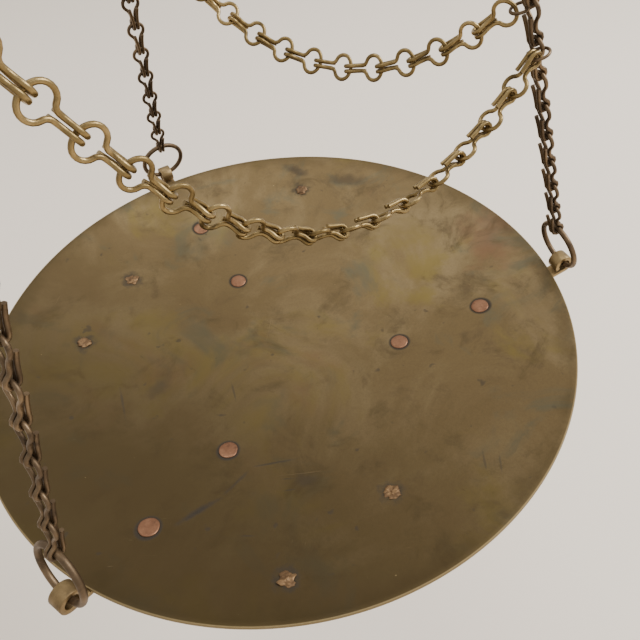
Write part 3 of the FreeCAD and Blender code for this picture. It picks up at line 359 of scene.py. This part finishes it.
def finish_piece(piece, name, body, slot, material, *nodes):
    """Names a finished mesh, gives it its material, and lets it stand for its CAD nodes."""
    nothing_selected()
    piece.select_set(True)
    bpy.context.view_layer.objects.active = piece
    bpy.ops.object.transform_apply(location=True, rotation=True, scale=True)
    piece.name = name
    piece.data.name = name
    piece.data.materials.clear()
    piece.data.materials.append(material)
    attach(piece, body)
    if nodes:
        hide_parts(*nodes)


rivet_points = [Vector(points.mean(axis=0)) for points in solids_of("pan_rivets_rh")]


def dished(point, shift):
    """A point of the pan's inner face with its dents, and with a dimple at each rivet."""
    flat = Vector((point.x, point.y, 0))
    reach = (flat - Vector((sphere_centre.x, sphere_centre.y, 0)) - Vector((shift.x, shift.y, 0))).length
    z = sphere_centre.z - sqrt(sphere_radius ** 2 - reach ** 2)
    z += DENT * noise.fractal(flat * DENT_SPREAD, 0.6, 2.0, 3)
    for rivet in rivet_points:
        gap = (flat - shift - Vector((rivet.x, rivet.y, 0))).length / RIVET_DIMPLE_RADIUS
        if gap < 1:
            z -= RIVET_DIMPLE * (1 - gap * gap) ** 2
    return Vector((point.x, point.y, z))


def make_pan(shift):
    nothing_selected()
    bpy.ops.mesh.primitive_circle_add(
        vertices=PAN_SIDES, radius=pan_radius, fill_type="NOTHING", location=pan_centre + shift)
    pan = bpy.context.object
    bpy.ops.object.transform_apply(location=True)
    bpy.ops.object.mode_set(mode="EDIT")
    bpy.ops.mesh.select_all(action="SELECT")
    for ring in range(RINGS, 1, -1):
        bpy.ops.mesh.extrude_region_move()
        bpy.ops.transform.resize(
            value=((ring - 1) / ring, (ring - 1) / ring, 1), center_override=pan_centre + shift)
    bpy.ops.mesh.extrude_region_move()
    bpy.ops.mesh.merge(type="CENTER")
    bpy.ops.mesh.select_all(action="SELECT")
    bpy.ops.mesh.normals_make_consistent(inside=False)
    bpy.ops.object.mode_set(mode="OBJECT")
    for vertex in pan.data.vertices:
        vertex.co = dished(vertex.co, shift)
    if pan.data.polygons[0].normal.z < 0:
        pan.data.flip_normals()
    wall = pan.modifiers.new("wall", "SOLIDIFY")
    wall.thickness = WALL
    wall.offset = -1
    rim = pan.modifiers.new("rim", "BEVEL")
    rim.width = RIM_ROUND
    rim.segments = 2
    rim.limit_method = "ANGLE"
    for name in ("wall", "rim"):
        bpy.ops.object.modifier_apply(modifier=name)
    bpy.ops.object.shade_smooth_by_angle(angle=radians(40))
    return pan


def flattened(tree, vector):
    node = add(tree, "VectorMath", operation="MULTIPLY")
    node.inputs[1].default_value = (1, 1, 0)
    link_nodes(tree, (vector, node.inputs[0]))
    return node.outputs[0]


def nearest(tree, vector, points):
    """How far the nearest of some points is."""
    least = None
    for point in points:
        gap = add(tree, "VectorMath", operation="DISTANCE")
        gap.inputs[1].default_value = (point[0], point[1], 0)
        link_nodes(tree, (vector, gap.inputs[0]))
        here = gap.outputs["Value"]
        least = here if least is None else math_node(tree, "MINIMUM", least, here)
    return least


def pan_material(side, centre):
    material, tree, shader = new_material("aged_pan_brass_" + side)
    place = add(tree, "TexCoord").outputs["Object"]
    centred = add(tree, "Mapping")
    centred.inputs["Location"].default_value = -centre
    link_nodes(tree, (place, centred.inputs["Vector"]))
    centred = centred.outputs[0]
    flat = flattened(tree, centred)

    # Cloudy tarnish, with soft olive, grey-green and red-brown patches.
    clouds = place_group(
        tree, tarnish, centred, Scale=15, Light=PAN_LIGHT, Middle=PAN_MIDDLE, Dark=PAN_DARK)
    colour = clouds["Color"]
    for tint, scale, low, high, most, warp in (
            (OLIVE, 17, 0.50, 0.66, 0.75, 0.6), (GREY_GREEN, 23, 0.53, 0.68, 0.75, 0.9),
            (RED_BROWN, 12, 0.56, 0.72, 0.60, 0.4), (DEEP_BROWN, 48, 0.56, 0.78, 0.50, 1.2)):
        patch = ramp(tree, noise_node(tree, centred, scale, 6, 0.62, warp), low, high, 0.0, most)
        colour = mixed(tree, patch, colour, tint)

    # Painted shade darkens it towards one edge and in a band inside the rim; a painted highlight
    # brightens the rim.
    # Painted shade, darker towards one side of the pan.
    shade_side = add(tree, "VectorMath", operation="DOT_PRODUCT")
    shade_side.inputs[1].default_value = PAINTED_SHADE_TOWARDS
    link_nodes(tree, (flat, shade_side.inputs[0]))
    colour = mixed(tree, ramp(tree, shade_side.outputs["Value"], -0.07, 0.12, 0.0, 0.84), colour, DEEP_BROWN)
    reach = nearest(tree, flat, ((0, 0),))
    # Painted shade: a dark band inside the rim.
    uneven = math_node(
        tree, "ADD", reach, ramp(tree, noise_node(tree, centred, 40, 4, 0.6), 0.3, 0.7, -0.004, 0.004))
    colour = mixed(
        tree, ramp(tree, uneven, pan_radius - 0.009, pan_radius, 0.0, 0.35), colour, DEEP_BROWN)
    # Painted highlight: a bright line along the rim's edge.
    rim_highlight = ramp(tree, reach, pan_radius - 0.0006, pan_radius - 0.0002, 0.0, 0.45)
    colour = mixed(tree, rim_highlight, colour, BARE_BRASS_AND_HIGHLIGHT)

    # Dirt: a stain round each lump of solder, a dark line round each rivet, smears and specks.
    ragged = math_node(
        tree, "MULTIPLY_ADD", noise_node(tree, centred, 240, 4, 0.65), 0.010)
    link_nodes(tree, (
        nearest(tree, flat, [(far * cos(radians(turn)), far * sin(radians(turn)))
                             for far, turn in SOLDER_SPOTS]), ragged.node.inputs[2]))
    dirt = ramp(tree, ragged, 0.0075, 0.0115, 0.7, 0.0)
    rivet_gap = nearest(tree, flat, [point - pan_centre for point in rivet_points])
    dirt = math_node(tree, "MAXIMUM", dirt, ramp(
        tree, rivet_gap, HEAD_RADIUS + 0.0004, HEAD_RADIUS + 0.0016, 0.9, 0.0))
    for x, y, turn, length, width, depth in MARKS:
        stroke = place_group(
            tree, mark, centred, Place=(x, y, 0), Angle=-radians(turn), Half=(length, width, 1),
            Depth=depth)["Mask"]
        dirt = math_node(tree, "MAXIMUM", dirt, stroke)
    specks = ramp(tree, noise_node(tree, centred, 150, 2, 0.5), 0.70, 0.77, 0.0, 0.55)
    dirt = math_node(tree, "MAXIMUM", dirt, specks)
    colour = mixed(tree, dirt, colour, DIRT)
    pale = ramp(tree, noise_node(tree, flat, 380, 1, 0.5), 0.80, 0.84, 0.0, 0.6)
    colour = mixed(tree, pale, colour, BARE_BRASS_AND_HIGHLIGHT)

    # Hair scratches two ways.
    fine = place_group(tree, scratches, centred, Scale=900, Angle=0.5)["Mask"]
    crossing = place_group(tree, scratches, centred, Scale=700, Angle=-0.9)["Mask"]
    lines = math_node(tree, "MAXIMUM", fine, crossing)
    colour = mixed(tree, math_node(tree, "MULTIPLY", lines, 0.25), colour, PAN_LIGHT)
    scuffs = place_group(tree, scratches, centred, Scale=420, Angle=1.2)["Mask"]
    colour = mixed(tree, math_node(tree, "MULTIPLY", scuffs, 0.45), colour, DIRT)

    rough = math_node(
        tree, "ADD", ramp(tree, clouds["Cloud"], 0.3, 0.7, 0.52, 0.42),
        math_node(tree, "MULTIPLY", dirt, 0.25))
    rough = math_node(tree, "ADD", rough, ramp(tree, clouds["Grain"], 0.35, 0.65, -0.03, 0.05))
    metal = math_node(tree, "SUBTRACT", 0.80, math_node(tree, "MULTIPLY", dirt, 0.5))
    height = math_node(
        tree, "ADD", math_node(tree, "MULTIPLY", clouds["Grain"], 0.25),
        math_node(tree, "SUBTRACT", math_node(tree, "MULTIPLY", dirt, 0.4), lines))
    link_nodes(
        tree, (colour, shader.inputs["Base Color"]), (rough, shader.inputs["Roughness"]),
        (metal, shader.inputs["Metallic"]))
    bumped(tree, shader, height, 0.00006)
    return material


for side, shift in shifts.items():
    finish_piece(
        make_pan(shift), "pan_sheet_" + side, "pan_" + side, "pan_brass",
        pan_material(side, pan_centre + shift), "pan_" + side)

# ---------------------------------------------------------------------------------------------
# Copper rivets: two through each strap, set cold, so each head is hammered nearly flat and is not
# quite round.
HEAD_RISE = 0.0007
HEAD_FLAT = 0.45
TAIL_RADIUS = 0.0033
TAIL_RISE = 0.0013
TAIL_FLAT = 0.8
LEFT_OF_CROWN = 0.28
OUT_OF_ROUND = (0.10, -0.07)
UNEVEN_SCALE = 210
UNEVEN_STEP = 7.3
STRAP_AND_GAP = 0.00185


def half_ball(radius, rise, flat_from):
    """A low dome on the plane z = 0, hammered flatter above a share of its height."""
    bpy.ops.mesh.primitive_uv_sphere_add(segments=36, ring_count=24, radius=1)
    dome = bpy.context.object
    bpy.ops.object.mode_set(mode="EDIT")
    bpy.ops.mesh.select_all(action="SELECT")
    bpy.ops.mesh.bisect(plane_co=(0, 0, 0), plane_no=(0, 0, 1), clear_inner=True)
    bpy.ops.mesh.edge_face_add()
    bpy.ops.mesh.select_all(action="SELECT")
    bpy.ops.transform.resize(value=(radius, radius, rise), center_override=(0, 0, 0))
    bpy.ops.mesh.normals_make_consistent(inside=False)
    bpy.ops.object.mode_set(mode="OBJECT")
    shoulder = flat_from * rise
    for vertex in dome.data.vertices:
        if vertex.co.z > shoulder:
            vertex.co.z = shoulder + (vertex.co.z - shoulder) * LEFT_OF_CROWN
    return dome


def joined(pieces, smooth_angle):
    """Several objects as one, smooth but for its sharper edges."""
    nothing_selected()
    for piece in pieces:
        piece.select_set(True)
    bpy.context.view_layer.objects.active = pieces[0]
    bpy.ops.object.join()
    bpy.ops.object.shade_smooth_by_angle(angle=radians(smooth_angle))
    return bpy.context.object


def make_rivets(shift):
    rivets = []
    for number, point in enumerate(rivet_points):
        inward = (sphere_centre - point).normalized()
        seat = sphere_centre - inward * sphere_radius
        turn = inward.to_track_quat("Z", "Y").to_matrix().to_4x4()
        for rise, radius, flat, drop, flip in (
                (HEAD_RISE, HEAD_RADIUS, HEAD_FLAT, 0.0, 1),
                (TAIL_RISE, TAIL_RADIUS, TAIL_FLAT, WALL + STRAP_AND_GAP, -1)):
            nothing_selected()
            dome = half_ball(radius, rise, flat)
            for vertex in dome.data.vertices:
                flat_place = Vector((vertex.co.x, vertex.co.y, 0))
                uneven = noise.noise(flat_place * UNEVEN_SCALE + Vector((number * UNEVEN_STEP, 0, 0)))
                vertex.co.x *= 1 + OUT_OF_ROUND[0] * uneven
                vertex.co.y *= 1 + OUT_OF_ROUND[1] * uneven
            if flip < 0:
                dome.data.transform(Matrix.Rotation(pi, 4, "X"))
            dome.data.transform(Matrix.Translation(seat - inward * drop + shift) @ turn)
            rivets.append(dome)
    return joined(rivets, 50)


copper, tree, shader = new_material("hammered_copper")
place = add(tree, "TexCoord").outputs["Object"]
clouds = place_group(
    tree, tarnish, place, Scale=120, Light=(0.28, 0.140, 0.077, 1), Middle=(0.21, 0.100, 0.054, 1),
    Dark=(0.11, 0.054, 0.032, 1))
link_nodes(
    tree, (clouds["Color"], shader.inputs["Base Color"]),
    (ramp(tree, clouds["Cloud"], 0.35, 0.65, 0.52, 0.38), shader.inputs["Roughness"]))
shader.inputs["Metallic"].default_value = 0.85
bumped(tree, shader, noise_node(tree, place, 700, 3, 0.5), 0.00012)

for side, shift in shifts.items():
    finish_piece(
        make_rivets(shift), "rivet_heads_" + side, "pan_" + side, "rivet_copper", copper,
        "pan_rivets_" + side)

# ---------------------------------------------------------------------------------------------
# Solder: five small lumps left on each pan by an old repair, brown with a brighter crown. Each is
# a ragged drop that has wetted the brass round it.
LUMP_RADIUS = 0.0032
LUMP_RISE = 0.0007
LUMP_FLAT = 0.9
RAGGED = (0.55, 0.35, 0.7)
RAGGED_SCALE = 420
RAGGED_STEP = 5.1


def make_lumps(shift):
    lumps = []
    for number, (far, turn) in enumerate(SOLDER_SPOTS):
        flat = Vector((far * cos(radians(turn)), far * sin(radians(turn)), 0))
        seat = pan_centre + flat
        seat.z = sphere_centre.z - sqrt(sphere_radius ** 2 - far ** 2)
        upright = (sphere_centre - seat).to_track_quat("Z", "Y").to_matrix().to_4x4()
        nothing_selected()
        lump = half_ball(LUMP_RADIUS, LUMP_RISE, LUMP_FLAT)
        for vertex in lump.data.vertices:
            place = vertex.co * RAGGED_SCALE + Vector((number * RAGGED_STEP, 2, 0))
            ragged = noise.fractal(place, 0.7, 2.0, 3)
            for axis in range(3):
                vertex.co[axis] *= 1 + RAGGED[axis] * ragged
        lump.data.transform(Matrix.Translation(seat + shift) @ upright)
        lumps.append(lump)
    return joined(lumps, 60)


solder, tree, shader = new_material("old_solder")
place = add(tree, "TexCoord").outputs["Object"]
clouds = place_group(
    tree, tarnish, place, Scale=230, Light=(0.27, 0.160, 0.072, 1), Middle=(0.145, 0.082, 0.038, 1),
    Dark=(0.045, 0.028, 0.016, 1))
link_nodes(
    tree, (clouds["Color"], shader.inputs["Base Color"]),
    (ramp(tree, clouds["Cloud"], 0.35, 0.65, 0.62, 0.42), shader.inputs["Roughness"]))
shader.inputs["Metallic"].default_value = 0.7
bumped(tree, shader, noise_node(tree, place, 900, 4, 0.6), 0.0002)

for side, shift in shifts.items():
    finish_piece(make_lumps(shift), "solder_lumps_" + side, "pan_" + side, "pan_brass", solder)

# ---------------------------------------------------------------------------------------------
# Chains: every link is bent from one piece of drawn wire. A closed eye narrows to a neck, and the
# two legs run on side by side, curl over the wire of the next eye and end, cut off, by the neck.
PITCH = 0.0132
CLOSED_END = 0.0032
ARC_STEPS = 7
WIRE_ROUNDNESS = 3
EYE_SHARE = 0.6


def arc(centre, radius, first, last, place):
    """Points along an arc, without its last one, each put in place by a function."""
    angles = (first + (last - first) * step / ARC_STEPS for step in range(ARC_STEPS))
    return [place(centre[0] + radius * cos(angle), centre[1] + radius * sin(angle)) for angle in angles]


def link_line(shape, hook):
    """Half of the wire's centre line, from the middle of the eye's closed end to a cut end. The
    eye lies in the plane z = 0 with its closed end at the origin and the hook beyond +x."""
    side_y = shape["eye_half_width"] - shape["side"]
    end_turn = asin(side_y / (shape["end"] - shape["side"]))
    side_x = shape["end"] - (shape["end"] - shape["side"]) * cos(end_turn)
    leg = shape["leg_half_gap"]
    shoulder = shape["shoulder"]
    opening = asin((leg + shoulder - side_y) / (shape["side"] + shoulder))
    neck_x = side_x + (shape["side"] + shoulder) * cos(opening)
    hook_x = PITCH + shape["end"] - sqrt(shape["end"] ** 2 - leg ** 2)
    run = hook_x - neck_x
    rise = (run ** 2 - hook ** 2) / (2 * hook)
    lift = asin(run / (rise + hook))

    def flat(x, y):
        return Vector((x, y, 0))

    def upright(x, z):
        return Vector((x, leg, z))

    points = arc((shape["end"], 0), shape["end"], pi, pi - end_turn, flat)
    points += arc((side_x, side_y), shape["side"], pi - end_turn, opening, flat)
    points += arc((neck_x, leg + shoulder), shoulder, pi + opening, 1.5 * pi, flat)
    points += arc((neck_x, rise), rise, -pi / 2, lift - pi / 2, upright)
    points += arc((hook_x, 0), hook, lift + pi / 2, -pi / 2, upright)
    for step in range(ARC_STEPS):
        along = step / (ARC_STEPS - 1)
        points.append(Vector((
            hook_x + (shape["tail_x"] - hook_x) * along, leg + shape["splay"] * along ** 2,
            -hook - shape["flare"] * along ** 2)))
    return points


def bent_link(shape, hook):
    """One link as a mesh: a round wire along its centre line, cut square at both ends."""
    half = link_line(shape, hook)
    points = [Vector((p.x, -p.y, p.z)) for p in half[:0:-1]] + half
    nothing_selected()
    bpy.ops.curve.primitive_nurbs_path_add()
    wire = bpy.context.object
    wire.data.splines.clear()
    line = wire.data.splines.new("POLY")
    line.points.add(len(points) - 1)
    for point, place in zip(line.points, points):
        point.co = (*place, 1)
    wire.data.twist_mode = "MINIMUM"
    wire.data.bevel_depth = shape["wire"]
    wire.data.bevel_resolution = WIRE_ROUNDNESS
    wire.data.use_fill_caps = True
    bpy.ops.object.convert(target="MESH")
    return bpy.context.object


def link_place(points, wire):
    """Where a CAD link lies, as a matrix, and the radius of its hook. Its wider end is the eye."""
    middle = points.mean(axis=0)
    length = np.linalg.svd(points - middle, full_matrices=False)[2][0]
    width = 0
    for direction in (length, -length):
        reach = (points - middle) @ direction
        end = points[reach < reach.min() + CLOSED_END]
        spread = np.linalg.svd(end - end.mean(axis=0), full_matrices=False)[2]
        if np.ptp(end @ spread[0]) > width:
            width = np.ptp(end @ spread[0])
            ahead, eye, across, normal = direction, end, spread[0], spread[2]
    forward = np.cross(across, normal)
    forward *= np.sign(forward @ ahead)
    height = (points - eye.mean(axis=0)) @ normal
    behind = (points - eye.mean(axis=0)) @ forward < EYE_SHARE * PITCH
    lowest = np.argmax(np.abs(height) * behind)
    normal = -normal * np.sign(height[lowest])
    across = np.cross(normal, forward)
    origin = (
        forward * ((points @ forward).min() + wire)
        + across * ((eye @ across).max() + (eye @ across).min()) / 2
        + normal * ((eye @ normal).max() + (eye @ normal).min()) / 2)
    matrix = Matrix.Identity(4)
    for row in range(3):
        matrix[row][0], matrix[row][1], matrix[row][2] = forward[row], across[row], normal[row]
        matrix[row][3] = origin[row]
    return matrix, np.ptp(points @ normal) / 2 - wire


def make_chain(node, shape):
    """A chain of copies of one link, each where its CAD link lies."""
    made = {}
    links = []
    for points in solids_of(node):
        matrix, hook = link_place(points, shape["wire"])
        hook = round(hook, 4)
        if hook not in made:
            made[hook] = bent_link(shape, hook)
        copy = made[hook].copy()
        copy.data = made[hook].data.copy()
        copy.data.transform(matrix)
        bpy.context.scene.collection.objects.link(copy)
        links.append(copy)
    for pattern in made.values():
        bpy.data.objects.remove(pattern)
    return joined(links, 50)


def copied_left(piece):
    """The same piece for the left-hand pan, with a mesh of its own."""
    copy = piece.copy()
    copy.data = piece.data.copy()
    copy.data.transform(Matrix.Translation(shifts["lh"]))
    bpy.context.scene.collection.objects.link(copy)
    return copy


# ---------------------------------------------------------------------------------------------
# Suspension chains: brass wire coloured dark brown.
CHAIN_LINK = {
    "wire": 0.00075, "eye_half_width": 0.0035, "end": 0.0039, "side": 0.0032, "shoulder": 0.006,
    "leg_half_gap": 0.0009, "tail_x": 0.0047, "splay": 0.0009, "flare": 0.0003}


def metal_material(name, scale, light, middle, dark, smooth, rough, metallic, grain_depth):
    """A cast, forged or drawn metal with its own tarnish and a fine grain."""
    material, tree, shader = new_material(name)
    place = add(tree, "TexCoord").outputs["Object"]
    clouds = place_group(tree, tarnish, place, Scale=scale, Light=light, Middle=middle, Dark=dark)
    link_nodes(
        tree, (clouds["Color"], shader.inputs["Base Color"]),
        (ramp(tree, clouds["Cloud"], 0.35, 0.68, rough, smooth), shader.inputs["Roughness"]))
    shader.inputs["Metallic"].default_value = metallic
    bumped(tree, shader, clouds["Grain"], grain_depth)
    return material


dark_bronze = metal_material(
    "dark_bronze", 55, (0.20, 0.135, 0.075, 1), (0.105, 0.070, 0.040, 1), (0.035, 0.025, 0.017, 1),
    0.36, 0.55, 0.85, 0.00004)

for name in ("back", "right", "left"):
    whole = make_chain("%s_chain_rh" % name, CHAIN_LINK)
    other = copied_left(whole)
    for side, piece in (("rh", whole), ("lh", other)):
        finish_piece(
            piece, "%s_chain_links_%s" % (name, side), "pan_" + side, "dark_bronze", dark_bronze,
            "%s_chain_%s" % (name, side))

# ---------------------------------------------------------------------------------------------
# Swags: the same kind of link with a wider, rounder eye, in a lighter brass.
SWAG_LINK = {
    "wire": 0.00075, "eye_half_width": 0.0045, "end": 0.0055, "side": 0.003, "shoulder": 0.0022,
    "leg_half_gap": 0.00095, "tail_x": 0.0076, "splay": 0.0002, "flare": 0.0002}

swag_brass = metal_material(
    "drawn_brass", 60, (0.37, 0.265, 0.118, 1), (0.21, 0.145, 0.058, 1), (0.072, 0.048, 0.021, 1),
    0.27, 0.42, 0.95, 0.00004)

for name in ("back_right", "left_right", "back_left"):
    whole = make_chain("%s_swag_rh" % name, SWAG_LINK)
    other = copied_left(whole)
    for side, piece in (("rh", whole), ("lh", other)):
        node = "%s_swag_%s" % (name, side)
        finish_piece(piece, "%s_swag_links_%s" % (name, side), node, "swag_brass", swag_brass, node)

# ---------------------------------------------------------------------------------------------
# Plates, levers, rings and pins: sawn, filed and turned pieces. Their shapes are the CAD's own.
# All but the rings, pins, rivets, eyes and swivels are given at each corner the small round
# that a file and years of handling leave.


def softened(node, corner):
    """Joins a CAD node's facets, rounds its corners and smooths its curved faces."""
    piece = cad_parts[node]
    piece.data.polygons.foreach_set("use_smooth", [True] * len(piece.data.polygons))
    weld = piece.modifiers.new("weld", "WELD")
    weld.merge_threshold = 0.000002
    if corner:
        flat = piece.modifiers.new("flat", "DECIMATE")
        flat.decimate_type = "DISSOLVE"
        flat.angle_limit = radians(0.5)
        edge = piece.modifiers.new("edge", "BEVEL")
        edge.width = corner
        edge.segments = 2
        edge.limit_method = "ANGLE"
        edge.angle_limit = radians(35)
        edge.use_clamp_overlap = False
        edge.harden_normals = True
    return piece


def cad_finish(material, corner, *nodes):
    for node in nodes:
        piece = softened(node, corner)
        piece.data.materials.clear()
        piece.data.materials.append(material)


beam_brass = metal_material(
    "forged_brass", 30, (0.50, 0.36, 0.165, 1), (0.36, 0.25, 0.105, 1), (0.16, 0.105, 0.048, 1),
    0.28, 0.44, 0.95, 0.00005)
strap_brass = metal_material(
    "strap_brass", 45, (0.36, 0.255, 0.120, 1), (0.22, 0.150, 0.070, 1), (0.09, 0.062, 0.034, 1),
    0.36, 0.52, 0.9, 0.00006)
knife_steel = metal_material(
    "knife_steel", 80, (0.52, 0.52, 0.51, 1), (0.40, 0.39, 0.375, 1), (0.16, 0.13, 0.105, 1),
    0.22, 0.38, 1.0, 0.00002)

cad_finish(
    beam_brass, 0.0003, "beam", "shears_bridge", "shears_cheek_front", "shears_cheek_back", "pointer",
    "eye_collar", "chain_plate_rh", "chain_plate_lh", "shackle_cheeks_rh", "shackle_cheeks_lh")
cad_finish(
    strap_brass, 0.0002, *("%s_strap_%s" % (name, side) for name in ("back", "right", "left")
                           for side in shifts))
cad_finish(
    knife_steel, 0.0001, "fulcrum_bearings", "fulcrum_knife", "end_knife_rh", "end_knife_lh")
cad_finish(
    beam_brass, 0, "hanging_eye", "cheek_rivets", *("%s_%s" % (name, side) for name in (
        "shackle_pin", "hanger_ring", "swivel") for side in shifts))
cad_finish(
    dark_bronze, 0, *("%s_%s" % (name, side) for name in ("rim_rings", "plate_rings", "swag_rings")
                      for side in shifts))
